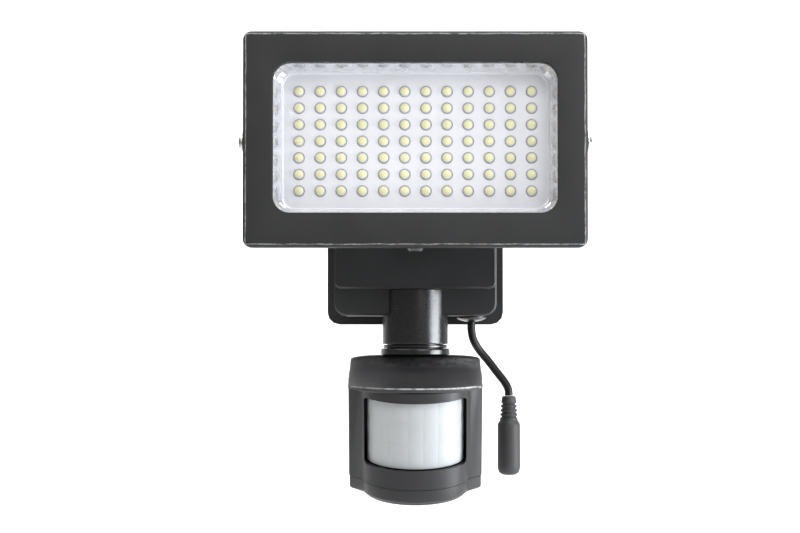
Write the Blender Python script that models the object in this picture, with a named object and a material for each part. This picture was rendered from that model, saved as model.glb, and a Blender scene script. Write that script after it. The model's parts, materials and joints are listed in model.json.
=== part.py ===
"""Wall-mounted LED floodlight with a separate motion sensor on a swivelling neck.

Metres, +Z up. The light faces -Y. The origin is the middle of the wall plate's back face.
"""

import math

import bmesh
import bpy
from mathutils import Vector

# Driving dimensions
GAP = 0.0003

HEAD_WIDTH = 0.1650
HEAD_HEIGHT = 0.1037
WINDOW_WIDTH = 0.1362
WINDOW_HEIGHT = 0.0721
WINDOW_RADIUS = 0.0082
WINDOW_LIFT = 0.0008
HEAD_FRONT = -0.0140
BEZEL_BACK = -0.0076
HOUSING_WIDTH = 0.1544
HOUSING_HEIGHT = 0.0984
HEAD_PIVOT = (0.0, -0.0960, 0.0360)
BEZEL_SCREW = (0.0722, 0.0440)

LED_COLUMNS = 12
LED_ROWS = 7
LED_PITCH_X = 0.0103
LED_PITCH_Z = 0.0081
LED_RADIUS = 0.0024
LED_HOLE_RADIUS = 0.0028
TRAY_FLOOR = 0.0004
BOARD_FRONT = 0.0040

YOKE_ARM = 0.0808
YOKE_THICKNESS = 0.0027
YOKE_HALF_WIDTH = 0.0070
YOKE_BACK = 0.0437
PIVOT_SHANK = 0.0020
PIVOT_CLEARANCE = 0.0024
HINGE_KNUCKLE = 0.0046

PLATE_DEPTH = 0.0025
REAR_WIDTH = 0.0960
REAR_HEIGHT = 0.1030
REAR_FRONT = -0.0120
BOX_WIDTH = 0.0855
BOX_HEIGHT = 0.0944
BOX_BACK = -0.0136
BOX_FRONT = -0.0440
COVER_WIDTH = 0.0840
COVER_FRONT = -0.0520
COVER_BOTTOM = -0.0333
COVER_TOP = 0.0450
COVER_SCREW_HEIGHTS = (0.0220, -0.0080)
SHELL_WALL = 0.0025
SHELL_SCREW = (0.0369, 0.0413)

NECK_RADIUS = 0.0173
NECK_Y = -0.0331
NECK_TOP = -0.0336
NECK_BOTTOM = -0.0622
COLLAR_RADIUS = 0.01825
COLLAR_TOP = -0.0645
COLLAR_BOTTOM = -0.0676
NECK_BORE = 0.0128
SPIGOT_RADIUS = 0.0150
SPIGOT_BOTTOM = -0.0670
RING_RADIUS = 0.0170

SENSOR_HINGE = (0.0, -0.0130, -0.0740)
SENSOR_LEAN = math.radians(10.5)
SENSOR_RADIUS = 0.0284
SENSOR_CENTRE = -0.0396
SENSOR_HALF_WIDTH = 0.0348
SENSOR_REAR = -0.0220
SENSOR_CORNER = 0.0080
SENSOR_WALL = 0.0022
SENSOR_SEAM = -0.0503
PILLAR_BOTTOM = -0.0576
SENSOR_BOTTOM = -0.0593
DISC_REAR = -0.0250
LENS_TOP = -0.0058
LENS_BOTTOM = -0.0406
LENS_HALF_WIDTH = 0.0263
LENS_RADIUS = 0.0256
LENS_THICKNESS = 0.0012
LENS_MARGIN = 0.0015
LID_HALF_WIDTH = 0.0345
LID_REAR = -0.0060
LID_CORNER = 0.0090
LID_SHOULDER = -0.0490
LID_THICKNESS = 0.0027
LID_NOSE = -0.0670
DIAL_SPREAD = 0.0110
DIAL_RADIUS = 0.0050

LEAD_RADIUS = 0.0022
LEAD_STEP = 0.0045
LEAD_ROUTE = (
    (0.0302, -0.0220, -0.0505),
    (0.0303, -0.0219, -0.0548),
    (0.0315, -0.0194, -0.0599),
    (0.0346, -0.0166, -0.0652),
    (0.0397, -0.0150, -0.0713),
    (0.0444, -0.0143, -0.0774),
    (0.0479, -0.0140, -0.0818),
    (0.0502, -0.0140, -0.0855),
    (0.0509, -0.0140, -0.0880),
    (0.0510, -0.0140, -0.0903),
)


def clear_scene():
    for old in list(bpy.data.objects):
        bpy.data.objects.remove(old, do_unlink=True)


def make_material(name, colour, roughness, metallic=0.0):
    material = bpy.data.materials.new(name)
    material.use_nodes = True
    shader = material.node_tree.nodes["Principled BSDF"]
    shader.inputs["Base Color"].default_value = (*colour, 1.0)
    shader.inputs["Roughness"].default_value = roughness
    shader.inputs["Metallic"].default_value = metallic
    return material


# Shape helpers


def rounded_rectangle(width, height, radius, steps=3):
    """Outline as (across, up) pairs, counterclockwise from the lower right corner."""
    outline = []
    for corner, (side, end) in enumerate(((1, -1), (1, 1), (-1, 1), (-1, -1))):
        for step in range(steps + 1):
            angle = math.radians(90 * (corner - 1 + step / steps))
            across = side * (width / 2 - radius) + radius * math.cos(angle)
            up = end * (height / 2 - radius) + radius * math.sin(angle)
            outline.append((across, up))
    return outline


def circle(radius, sides):
    angles = [2 * math.pi * step / sides for step in range(sides)]
    return [(radius * math.cos(angle), radius * math.sin(angle)) for angle in angles]


def place(pair, along, axis):
    """A point of an outline, at a distance along the axis that the outline faces."""
    first, second = pair
    if axis == "X":
        return Vector((along, first, second))
    if axis == "Y":
        return Vector((first, along, second))
    return Vector((first, second, along))


def shifted(outline, across, up):
    return [(first + across, second + up) for first, second in outline]


def loft(rings, loop=False, mesh=None):
    """Skins rings of equal length, and caps both ends unless the last ring meets the first."""
    mesh = mesh or bmesh.new()
    rows = [[mesh.verts.new(point) for point in ring] for ring in rings]
    pairs = list(zip(rows, rows[1:]))
    if loop:
        pairs.append((rows[-1], rows[0]))
    else:
        mesh.faces.new(rows[0])
        mesh.faces.new(rows[-1])
    for first, second in pairs:
        for index in range(len(first)):
            after = (index + 1) % len(first)
            mesh.faces.new((first[index], first[after], second[after], second[index]))
    return mesh


def extruded(sections, axis="Y", loop=False, mesh=None):
    """Skins (outline, distance along the axis) sections."""
    rings = [[place(pair, along, axis) for pair in outline] for outline, along in sections]
    return loft(rings, loop, mesh)


def turned(profile, sides=24, axis="Z", loop=False, centre=(0.0, 0.0), mesh=None):
    """Skins (radius, distance along the axis) steps round an axis through the centre."""
    sections = [(shifted(circle(radius, sides), *centre), along) for radius, along in profile]
    return extruded(sections, axis, loop, mesh)


def box(low, high, mesh=None):
    mesh = mesh or bmesh.new()
    outline = ((low[0], low[1]), (high[0], low[1]), (high[0], high[1]), (low[0], high[1]))
    return extruded(((outline, low[2]), (outline, high[2])), "Z", mesh=mesh)


def add(name, mesh, material, parent=None, location=(0.0, 0.0, 0.0)):
    """Turns the mesh into a named object with outward faces and smooth round sides."""
    bmesh.ops.recalc_face_normals(mesh, faces=mesh.faces)
    data = bpy.data.meshes.new(name)
    mesh.to_mesh(data)
    mesh.free()
    data.materials.append(material)
    data.shade_smooth()
    data.set_sharp_from_angle(angle=math.radians(35))
    made = bpy.data.objects.new(name, data)
    made.parent = parent
    made.location = location
    bpy.context.collection.objects.link(made)
    return made


def combine(target, name, mesh, operation="DIFFERENCE"):
    """Cuts the mesh from the target, or joins it to the target."""
    tool = add(name, mesh, target.data.materials[0], target.parent, target.location)
    tool.hide_render = True
    tool.display_type = "WIRE"
    modifier = target.modifiers.new(name, "BOOLEAN")
    modifier.operation = operation
    modifier.solver = "EXACT"
    modifier.object = tool
    return target


def add_pivot(name, location, parent=None, rotation=(0.0, 0.0, 0.0)):
    pivot = bpy.data.objects.new(name, None)
    pivot.location = location
    pivot.rotation_euler = rotation
    pivot.parent = parent
    bpy.context.collection.objects.link(pivot)
    return pivot


def corner_points(across, up):
    return [(side * across, end * up) for end in (1, -1) for side in (-1, 1)]


def screw_profile(head_radius, head_height, shank_radius, seat, tip):
    """Pan head that stands off its seat, with a shank that ends at the tip."""
    way = 1 if seat > tip else -1
    return (
        (0.6 * head_radius, seat + way * head_height),
        (head_radius, seat + way * 0.5 * head_height),
        (head_radius, seat),
        (shank_radius, seat),
        (shank_radius, tip),
    )


# Lamp head: everything that tilts on the yoke, drawn about the tilt axis


def framed(width, height, radius, steps=3):
    """An outline round the window's middle."""
    return shifted(rounded_rectangle(width, height, radius, steps), 0.0, WINDOW_LIFT)


def add_front_bezel(black, pivot):
    rim = 0.0018
    outer = rounded_rectangle(HEAD_WIDTH, HEAD_HEIGHT, 0.0042)
    edge = rounded_rectangle(HEAD_WIDTH - rim / 2, HEAD_HEIGHT - rim / 2, 0.0038)
    sections = (
        (rounded_rectangle(HEAD_WIDTH - 2 * rim, HEAD_HEIGHT - 2 * rim, 0.0026), HEAD_FRONT),
        (edge, HEAD_FRONT + rim / 3),
        (outer, HEAD_FRONT + rim),
        (outer, BEZEL_BACK),
        (framed(0.1480, 0.0840, 0.0100), BEZEL_BACK),
        (framed(0.1480, 0.0840, 0.0100), HEAD_FRONT + 0.0026),
        (framed(WINDOW_WIDTH, WINDOW_HEIGHT, WINDOW_RADIUS), HEAD_FRONT + 0.0026),
        (framed(WINDOW_WIDTH, WINDOW_HEIGHT, WINDOW_RADIUS), HEAD_FRONT),
    )
    bezel = add("front_bezel", extruded(sections, loop=True), black, pivot)
    holes = bmesh.new()
    for centre in corner_points(*BEZEL_SCREW):
        turned(((0.0018, -0.0120), (0.0018, -0.0070)), 12, "Y", centre=centre, mesh=holes)
    combine(bezel, "bezel_screw_holes", holes)


def add_glass(rubber, glass, pivot):
    ring = (
        (framed(0.1470, 0.0830, 0.0095), -0.0111),
        (framed(0.1470, 0.0830, 0.0095), -0.0103),
        (framed(0.1376, 0.0735, 0.0088), -0.0103),
        (framed(0.1376, 0.0735, 0.0088), -0.0111),
    )
    add("glass_gasket", extruded(ring, loop=True), rubber, pivot)
    pane = framed(0.1466, 0.0826, 0.0093)
    add("front_glass", extruded(((pane, -0.0100), (pane, -0.0070))), glass, pivot)


def led_places():
    for row in range(LED_ROWS):
        up = WINDOW_LIFT + LED_PITCH_Z * (row - (LED_ROWS - 1) / 2)
        for column in range(LED_COLUMNS):
            yield LED_PITCH_X * (column - (LED_COLUMNS - 1) / 2), up


def add_reflector_tray(white, pivot):
    sections = (
        (framed(0.1314, 0.0684, 0.0070), TRAY_FLOOR + 0.0012),
        (framed(0.1396, 0.0758, 0.0090), -0.0052),
        (framed(0.1450, 0.0810, 0.0100), -0.0052),
        (framed(0.1450, 0.0810, 0.0100), -0.0066),
        (framed(0.1370, 0.0730, 0.0085), -0.0066),
        (framed(0.1290, 0.0660, 0.0060), TRAY_FLOOR),
    )
    tray = add("reflector_tray", extruded(sections), white, pivot)
    holes = bmesh.new()
    for centre in led_places():
        steps = ((LED_HOLE_RADIUS, -0.0010), (LED_HOLE_RADIUS, 0.0030))
        turned(steps, 8, "Y", centre=centre, mesh=holes)
    combine(tray, "led_holes", holes)


def add_led_board(board_green, pivot):
    outline = framed(0.1300, 0.0670, 0.0020, 1)
    board = add("led_board", extruded(((outline, BOARD_FRONT), (outline, 0.0056))), board_green, pivot)
    domes = bmesh.new()
    for centre in led_places():
        steps = ((0.0014, -0.0016), (LED_RADIUS, -0.0004), (LED_RADIUS, BOARD_FRONT + 0.0005))
        turned(steps, 6, "Y", centre=centre, mesh=domes)
    combine(board, "led_domes", domes, "UNION")


def add_head_housing(black, pivot):
    face = BEZEL_BACK + GAP
    wide = rounded_rectangle(HOUSING_WIDTH, HOUSING_HEIGHT, 0.0030)
    cavity = rounded_rectangle(0.1490, 0.0930, 0.0180)
    sections = (
        (rounded_rectangle(0.1180, 0.0540, 0.0060), 0.0200),
        (rounded_rectangle(0.1240, 0.0600, 0.0060), 0.0180),
        (wide, 0.0052),
        (wide, face),
        (cavity, face),
        (cavity, 0.0047),
        (rounded_rectangle(0.1180, 0.0540, 0.0060), 0.0160),
    )
    housing = add("head_housing", extruded(sections), black, pivot)
    fins = bmesh.new()
    for index in range(11):
        middle = 0.0100 * (index - 5)
        low = (middle - 0.0010, 0.0150, -0.0230)
        box(low, (middle + 0.0010, 0.0240, 0.0230), fins)
    combine(housing, "cooling_fins", fins, "UNION")
    holes = bmesh.new()
    for centre in corner_points(*BEZEL_SCREW):
        pocket = ((0.0018, -0.0090), (0.0018, -0.0047), (0.0031, -0.0047), (0.0031, 0.0300))
        turned(pocket, 12, "Y", centre=centre, mesh=holes)
    for side in (-1, 1):
        span = ((PIVOT_CLEARANCE, side * 0.0700), (PIVOT_CLEARANCE, side * 0.0800))
        turned(span, 12, "X", mesh=holes)
    combine(housing, "housing_holes", holes)


def add_head_fasteners(steel, rubber, black, pivot):
    for number, (across, up) in enumerate(corner_points(*BEZEL_SCREW), 1):
        profile = screw_profile(0.0028, 0.0020, 0.0014, -0.0044, -0.0115)
        mesh = turned(profile, 12, "Y")
        add(f"bezel_screw_{number}", mesh, steel, pivot, (across, 0.0, up))
    for name, side in (("left", -1), ("right", 1)):
        arm_face = side * (YOKE_ARM + YOKE_THICKNESS + GAP)
        profile = screw_profile(0.00375, 0.0023, PIVOT_SHANK, arm_face, side * 0.0705)
        add(f"pivot_screw_{name}", turned(profile, 16, "X"), steel, pivot)
        near, far = side * (HOUSING_WIDTH / 2 + GAP), side * (YOKE_ARM - GAP)
        hole = PIVOT_CLEARANCE
        ring = ((0.0060, near), (0.0060, far), (hole, far), (hole, near))
        add(f"pivot_washer_{name}", turned(ring, 16, "X", loop=True), rubber, pivot)
        near, far = side * 0.0712, side * 0.0742
        nut = ((0.0040, far), (0.0040, near), (hole, near), (hole, far))
        add(f"pivot_nut_{name}", turned(nut, 6, "X", loop=True), steel, pivot)
    under = -HOUSING_HEIGHT / 2 - GAP
    gland = ((0.0042, under), (0.0042, under - 0.0022), (0.0032, under - 0.0034))
    add("head_gland", turned(gland, 16), black, pivot)


# Yoke, drawn about the same axis but fixed to the box


def yoke_stations():
    """(across, back, turn, half width) along the strip, from the left arm's tip to the right's."""
    middle = YOKE_ARM + YOKE_THICKNESS / 2
    back = YOKE_BACK - YOKE_THICKNESS / 2
    bend = 0.0060
    half = []
    for degrees in (75, 50, 25, 0):
        angle = math.radians(degrees)
        reach = -YOKE_HALF_WIDTH * math.sin(angle)
        half.append((middle, reach, 0.0, YOKE_HALF_WIDTH * math.cos(angle)))
    for degrees in (0, 30, 60, 90):
        angle = math.radians(degrees)
        across = middle - bend + bend * math.cos(angle)
        half.append((across, back - bend + bend * math.sin(angle), angle, YOKE_HALF_WIDTH))
    mirrored = [(-across, depth, math.pi - turn, width) for across, depth, turn, width in half]
    return mirrored + half[::-1]


def add_yoke(black, steel, pivot_place):
    rings = []
    for across, back, turn, half_width in yoke_stations():
        normal = Vector((math.cos(turn), math.sin(turn), 0.0)) * (YOKE_THICKNESS / 2)
        middle = Vector((across, back, 0.0))
        up = Vector((0.0, 0.0, half_width))
        ring = [middle - normal - up, middle + normal - up, middle + normal + up, middle - normal + up]
        rings.append(ring)
    yoke = add("yoke", loft(rings), black, None, pivot_place)
    holes = turned(((PIVOT_CLEARANCE, -0.0900), (PIVOT_CLEARANCE, 0.0900)), 12, "X")
    turned(((0.0029, YOKE_BACK - 0.0100), (0.0029, YOKE_BACK + 0.0050)), 12, "Y", mesh=holes)
    combine(yoke, "yoke_holes", holes)
    seat = YOKE_BACK - YOKE_THICKNESS - GAP
    bolt = (
        (0.0036, seat - 0.0024),
        (0.0045, seat - 0.0014),
        (0.0045, seat),
        (0.0024, seat),
        (0.0024, seat + 0.0100),
    )
    add("yoke_bolt", turned(bolt, 16, "Y"), steel, None, pivot_place)
    nut_back = COVER_FRONT + SHELL_WALL + GAP - pivot_place[1]
    nut = (
        (0.0048, nut_back),
        (0.0048, nut_back + 0.0030),
        (0.0028, nut_back + 0.0030),
        (0.0028, nut_back),
    )
    add("yoke_nut", turned(nut, 6, "Y", loop=True), steel, None, pivot_place)


# Wall box: plate, two shells, cover and what they hold


def shell_screw_holes(steps):
    holes = bmesh.new()
    for centre in corner_points(*SHELL_SCREW):
        turned(steps, 12, "Y", centre=centre, mesh=holes)
    return holes


def add_wall_plate(steel):
    outline = rounded_rectangle(0.0880, 0.0960, 0.0065)
    plate = add("wall_plate", extruded(((outline, -PLATE_DEPTH), (outline, 0.0))), steel)
    holes = bmesh.new()
    for up in (-0.0320, 0.0320):
        turned(((0.0025, -0.0040), (0.0025, 0.0010)), 12, "Y", centre=(0.0, up), mesh=holes)
    combine(plate, "wall_screw_holes", holes)


def add_rear_shell(black):
    outer = rounded_rectangle(REAR_WIDTH, REAR_HEIGHT, 0.0065)
    cavity = rounded_rectangle(0.0800, 0.0880, 0.0200)
    back = -PLATE_DEPTH - GAP
    sections = ((outer, back), (outer, REAR_FRONT), (cavity, REAR_FRONT), (cavity, back - SHELL_WALL))
    shell = add("rear_shell", extruded(sections), black)
    pocket = ((0.0018, -0.0200), (0.0018, -0.0053), (0.0031, -0.0053), (0.0031, -0.0010))
    combine(shell, "rear_screw_holes", shell_screw_holes(pocket))


def add_shell_gasket(rubber):
    outer = rounded_rectangle(0.0851, 0.0940, 0.0056)
    inner = rounded_rectangle(0.0809, 0.0898, 0.0200)
    front, back = BOX_BACK + GAP, REAR_FRONT - GAP
    ring = ((outer, front), (outer, back), (inner, back), (inner, front))
    gasket = add("shell_gasket", extruded(ring, loop=True), rubber)
    combine(gasket, "gasket_holes", shell_screw_holes(((0.0018, -0.0200), (0.0018, -0.0050))))


def add_front_shell(black):
    outer = rounded_rectangle(BOX_WIDTH, BOX_HEIGHT, 0.0060)
    cavity = rounded_rectangle(0.0805, 0.0894, 0.0200)
    edge = 0.0010
    sections = (
        (cavity, BOX_FRONT + SHELL_WALL),
        (cavity, BOX_BACK),
        (outer, BOX_BACK),
        (outer, BOX_FRONT + edge),
        (rounded_rectangle(BOX_WIDTH - 2 * edge, BOX_HEIGHT - 2 * edge, 0.0050), BOX_FRONT),
    )
    shell = add("front_shell", extruded(sections), black)
    combine(shell, "front_screw_holes", shell_screw_holes(((0.0018, -0.0240), (0.0018, -0.0100))))
    seat = ((NECK_RADIUS + GAP, -0.0600), (NECK_RADIUS + GAP, NECK_TOP + GAP))
    combine(shell, "neck_seat", turned(seat, 32, "Z", centre=(0.0, NECK_Y)))


def add_shell_screws(steel):
    for number, (across, up) in enumerate(corner_points(*SHELL_SCREW), 1):
        profile = screw_profile(0.0028, 0.0020, 0.0014, -0.0050, -0.0230)
        add(f"shell_screw_{number}", turned(profile, 12, "Y"), steel, None, (across, 0.0, up))


def add_box_cover(black, steel):
    middle = (COVER_TOP + COVER_BOTTOM) / 2
    height = COVER_TOP - COVER_BOTTOM
    back = BOX_FRONT - GAP
    edge, wall = 0.0009, 0.0025
    outer = rounded_rectangle(COVER_WIDTH, height, 0.0030)
    front = rounded_rectangle(COVER_WIDTH - 2 * edge, height - 2 * edge, 0.0021)
    inner = rounded_rectangle(COVER_WIDTH - 2 * wall, height - 2 * wall, 0.0140)
    outer, front, inner = (shifted(outline, 0.0, middle) for outline in (outer, front, inner))
    sections = (
        (front, COVER_FRONT),
        (outer, COVER_FRONT + edge),
        (outer, back),
        (inner, back),
        (inner, COVER_FRONT + SHELL_WALL),
    )
    cover = add("box_cover", extruded(sections), black)
    bolt = ((0.0028, COVER_FRONT - 0.0050), (0.0028, COVER_FRONT + 0.0050))
    hole = turned(bolt, 12, "Y", centre=(0.0, HEAD_PIVOT[2]))
    spots = [(side * 0.0355, up) for up in COVER_SCREW_HEIGHTS for side in (-1, 1)]
    for centre in spots:
        reach = ((0.0017, COVER_FRONT - 0.0050), (0.0017, BOX_FRONT + 0.0010))
        turned(reach, 12, "Y", centre=centre, mesh=hole)
    combine(cover, "cover_holes", hole)
    for number, (across, up) in enumerate(spots, 1):
        seat = COVER_FRONT - GAP
        profile = screw_profile(0.0028, 0.0016, 0.0014, seat, BOX_FRONT - 2 * GAP)
        add(f"cover_screw_{number}", turned(profile, 12, "Y"), steel, None, (across, 0.0, up))


def add_box_contents(cell_blue, board_green, black):
    holder = bmesh.new()
    box((-0.0360, -0.0170, -0.0180), (0.0360, -0.0150, 0.0330), holder)
    add("battery_holder", holder, black)
    for name, up in (("upper", 0.0190), ("lower", -0.0040)):
        can = ((0.0082, -0.0325), (0.0092, -0.0315), (0.0092, 0.0325))
        mesh = turned(can, 16, "X")
        add(f"battery_cell_{name}", mesh, cell_blue, None, (0.0, -0.0270, up))
    board = bmesh.new()
    box((-0.0290, -0.0140, -0.0390), (0.0290, -0.0124, -0.0200), board)
    add("charge_board", board, board_green)


def add_neck(black):
    edge = 0.0010
    profile = (
        (NECK_RADIUS - edge, NECK_TOP),
        (NECK_RADIUS, NECK_TOP - edge),
        (NECK_RADIUS, NECK_BOTTOM),
        (SPIGOT_RADIUS, NECK_BOTTOM),
        (SPIGOT_RADIUS, SPIGOT_BOTTOM),
        (NECK_BORE, SPIGOT_BOTTOM),
        (NECK_BORE, NECK_TOP - SHELL_WALL),
    )
    centre = (0.0, NECK_Y, 0.0)
    add("sensor_neck", turned(profile, 32), black, None, centre)
    top, bottom = NECK_BOTTOM - GAP, COLLAR_TOP + GAP
    inner = SPIGOT_RADIUS + GAP
    ring = ((RING_RADIUS, top), (RING_RADIUS, bottom), (inner, bottom), (inner, top))
    add("neck_ring", turned(ring, 32, loop=True), black, None, centre)


def add_cable_gland(black):
    top = -BOX_HEIGHT / 2 - GAP
    dome = ((0.0082, top), (0.0082, top - 0.0008), (0.0062, top - 0.0020), (0.0034, top - 0.0026))
    add("cable_gland", turned(dome, 20), black, None, (LEAD_ROUTE[0][0], LEAD_ROUTE[0][1], 0.0))


# Swivel: turns about the neck


def half_ring(side, outer, bore, high, low):
    """Half of a ring, split on the plane that divides left from right."""
    rings = []
    for step in range(13):
        angle = math.pi * (step / 12 - 0.5)
        across, back = side * math.cos(angle), math.sin(angle)
        ring = []
        for radius, up in ((outer, high), (outer, low), (bore, low), (bore, high)):
            ring.append(Vector((radius * across + side * GAP / 2, radius * back, up)))
        rings.append(ring)
    return loft(rings)


def add_swivel(black, steel, pivot):
    low = COLLAR_BOTTOM - pivot.location.z
    high = COLLAR_TOP - pivot.location.z
    for name, side in (("left", -1), ("right", 1)):
        mesh = half_ring(side, COLLAR_RADIUS, SPIGOT_RADIUS + 0.0004, high, low)
        add(f"collar_{name}", mesh, black, pivot)
    hinge = (0.0, SENSOR_HINGE[1] - NECK_Y, SENSOR_HINGE[2] - pivot.location.z)
    knuckle = HINGE_KNUCKLE
    top, step_down = COLLAR_TOP - SENSOR_HINGE[2], 0.0061
    behind = NECK_Y + COLLAR_RADIUS + GAP - SENSOR_HINGE[1]
    profile = [(behind, top), (behind, step_down), (-knuckle, step_down)]
    for step in range(9):
        angle = math.pi * (1 + step / 8)
        profile.append((knuckle * math.cos(angle), knuckle * math.sin(angle)))
    profile.append((knuckle, top))
    arm = extruded(((profile, -0.0060), (profile, 0.0060)), "X")
    arm = add("swivel_arm", arm, black, pivot, hinge)
    combine(arm, "arm_bore", turned(((0.0020, -0.0100), (0.0020, 0.0100)), 12, "X"))
    pin = ((0.0016, -0.0108), (0.0016, 0.0108))
    add("hinge_pin", turned(pin, 12, "X"), steel, pivot, hinge)


# Sensor head: tilts on the hinge behind its lid


def lid_height(back):
    """Height of the lid's top surface at a distance behind the hinge, level with the world."""
    flat_end = -0.0180
    start, end = 0.0061, -0.0100
    if back > flat_end:
        return start
    share = (back - flat_end) / (LID_NOSE - flat_end)
    return start + (end - start) * math.sin(share * math.pi / 2)


def lid_stations():
    """(distance back, half width) from the rear edge to the nose."""
    stations = []
    for step in range(5):
        angle = math.radians(22.5 * step)
        half = LID_HALF_WIDTH - LID_CORNER * (1 - math.sin(angle))
        stations.append((LID_REAR - LID_CORNER * (1 - math.cos(angle)), half))
    straight = LID_REAR - LID_CORNER
    for step in range(1, 6):
        stations.append((straight + (LID_SHOULDER - straight) * step / 5, LID_HALF_WIDTH))
    depth = LID_SHOULDER - LID_NOSE
    radius = (LID_HALF_WIDTH**2 + depth**2) / (2 * depth)
    widest = math.asin(LID_HALF_WIDTH / radius)
    for step in range(1, 9):
        angle = widest * (1 - step / 9)
        stations.append((LID_NOSE + radius * (1 - math.cos(angle)), radius * math.sin(angle)))
    return stations


def lid_ring(back, half, top, bottom):
    edge, fall = 0.0036, 0.0015
    left = [(-half, bottom), (-half, top - fall), (-half + edge, top)]
    right = [(-across, up) for across, up in reversed(left)]
    return [Vector((across, back, up)) for across, up in left + right]


def add_sensor_lid(black, hinge):
    rings = []
    for back, half in lid_stations():
        top = lid_height(back)
        rings.append(lid_ring(back, half, top, top - LID_THICKNESS))
    add("sensor_lid", loft(rings), black, hinge)


def sensor_outline(inset=0.0):
    """Plan of the sensor body: flat rear, straight sides, slanted pillars, round front."""
    radius = SENSOR_RADIUS - inset
    rear, side = SENSOR_REAR - inset, SENSOR_HALF_WIDTH - inset
    start, corner = math.radians(75), SENSOR_CORNER
    right = [(side - corner, rear), (side - 0.3 * corner, rear - 0.3 * corner), (side, rear - corner)]
    right += [(side, SENSOR_CENTRE + 0.4 * inset)]
    for step in range(9):
        angle = start * (1 - step / 8)
        right.append((radius * math.sin(angle), SENSOR_CENTRE - radius * math.cos(angle)))
    left = [(-across, back) for across, back in reversed(right[:-1])]
    return right + left


def under_lid(lean_frame):
    """Everything above the lid's underside, in the leaning frame, for cutting the body to fit."""
    mesh = bmesh.new()
    turn = lean_frame.rotation_euler.to_matrix().inverted()
    rings = []
    stations = [0.0100] + [back for back, half in lid_stations()] + [LID_NOSE, -0.0800]
    for back in stations:
        low = lid_height(max(back, LID_NOSE)) - LID_THICKNESS - GAP
        corners = ((-0.0500, low), (0.0500, low), (0.0500, 0.0300), (-0.0500, 0.0300))
        rings.append([turn @ Vector((across, back, up)) for across, up in corners])
    return loft(rings, mesh=mesh)


def add_sensor_body(black, lean):
    sections = (
        (sensor_outline(), SENSOR_SEAM),
        (sensor_outline(), 0.0120),
        (sensor_outline(SENSOR_WALL), 0.0120),
        (sensor_outline(SENSOR_WALL), SENSOR_SEAM),
    )
    body = add("sensor_body", extruded(sections, "Z", loop=True), black, lean)
    combine(body, "lid_line", under_lid(lean))
    low = (-LENS_HALF_WIDTH, -0.0800, LENS_BOTTOM)
    combine(body, "lens_window", box(low, (LENS_HALF_WIDTH, -0.0480, LENS_TOP)))


def add_sensor_lens(milky, lean):
    span = math.radians(82)
    inner = LENS_RADIUS - LENS_THICKNESS
    high, low = LENS_TOP + LENS_MARGIN, LENS_BOTTOM - LENS_MARGIN
    rings = []
    for step in range(25):
        angle = span * (2 * step / 24 - 1)
        ring = []
        for radius, up in ((LENS_RADIUS, high), (LENS_RADIUS, low), (inner, low), (inner, high)):
            across, back = radius * math.sin(angle), SENSOR_CENTRE - radius * math.cos(angle)
            ring.append(Vector((across, back, up)))
        rings.append(ring)
    add("fresnel_lens", loft(rings), milky, lean)


def add_sensor_electronics(board_green, steel, lean):
    board = bmesh.new()
    box((-0.0200, -0.0330, -0.0480), (0.0200, -0.0314, -0.0120), board)
    add("sensor_board", board, board_green, lean)
    can = ((0.0040, -0.0375), (0.0046, -0.0369), (0.0046, -0.0333))
    middle = (LENS_TOP + LENS_BOTTOM) / 2
    add("pir_detector", turned(can, 16, "Y"), steel, lean, (0.0, 0.0, middle))


def add_sensor_base(black, white, lean):
    top, ledge, edge = SENSOR_SEAM - GAP, 0.0003, 0.0016
    floor = SENSOR_BOTTOM + 0.0026
    sections = (
        (sensor_outline(SENSOR_WALL), floor + 0.0020),
        (sensor_outline(SENSOR_WALL), top),
        (sensor_outline(ledge), top),
        (sensor_outline(ledge), PILLAR_BOTTOM + edge),
        (sensor_outline(ledge + edge / 2), PILLAR_BOTTOM),
    )
    base = add("sensor_base_cap", extruded(sections, "Z"), black, lean)
    disc = []
    for inset, up in ((0.0016, PILLAR_BOTTOM + 0.0005), (0.0022, SENSOR_BOTTOM + 0.0006), (0.0036, SENSOR_BOTTOM)):
        round_outline = shifted(circle(SENSOR_RADIUS - inset, 32), 0.0, SENSOR_CENTRE)
        disc.append(([(across, min(back, DISC_REAR)) for across, back in round_outline], up))
    combine(base, "base_disc", extruded(disc, "Z"), "UNION")
    wells = bmesh.new()
    for side in (-1, 1):
        steps = ((DIAL_RADIUS + 0.0004, floor), (DIAL_RADIUS + 0.0004, SENSOR_BOTTOM - 0.0100))
        turned(steps, 16, "Z", centre=(side * DIAL_SPREAD, SENSOR_CENTRE), mesh=wells)
    combine(base, "dial_wells", wells)
    for name, side in (("time", -1), ("light", 1)):
        pivot = add_pivot(f"{name}_dial_pivot", (side * DIAL_SPREAD, SENSOR_CENTRE, floor), lean)
        knob = (
            (DIAL_RADIUS, -GAP),
            (DIAL_RADIUS, -0.0022),
            (DIAL_RADIUS - 0.0008, -0.0030),
        )
        dial = add(f"{name}_dial", turned(knob, 16), white, pivot)
        slot = box((-0.0006, -0.0040, -0.0050), (0.0006, 0.0040, -0.0020))
        combine(dial, f"{name}_dial_slot", slot)


def add_hinge_bracket(black, lean):
    back = SENSOR_REAR + GAP
    plate = bmesh.new()
    box((-0.0110, back, -0.0090), (0.0110, back + 0.0020, 0.0030), plate)
    bracket = add("hinge_bracket", plate, black, lean)
    ears = bmesh.new()
    knuckle = HINGE_KNUCKLE
    for side in (-1, 1):
        profile = [(back + 0.0010, 0.0025), (back + 0.0010, -0.0080)]
        for step in range(9):
            angle = math.pi * (step / 8 - 0.5)
            profile.append((knuckle * math.cos(angle), knuckle * math.sin(angle)))
        near, far = side * 0.0064, side * 0.0104
        extruded(((profile, near), (profile, far)), "X", mesh=ears)
    combine(bracket, "bracket_ears", ears, "UNION")
    combine(bracket, "ear_bores", turned(((0.0020, -0.0150), (0.0020, 0.0150)), 12, "X"))


# Lead and its connector


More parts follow.
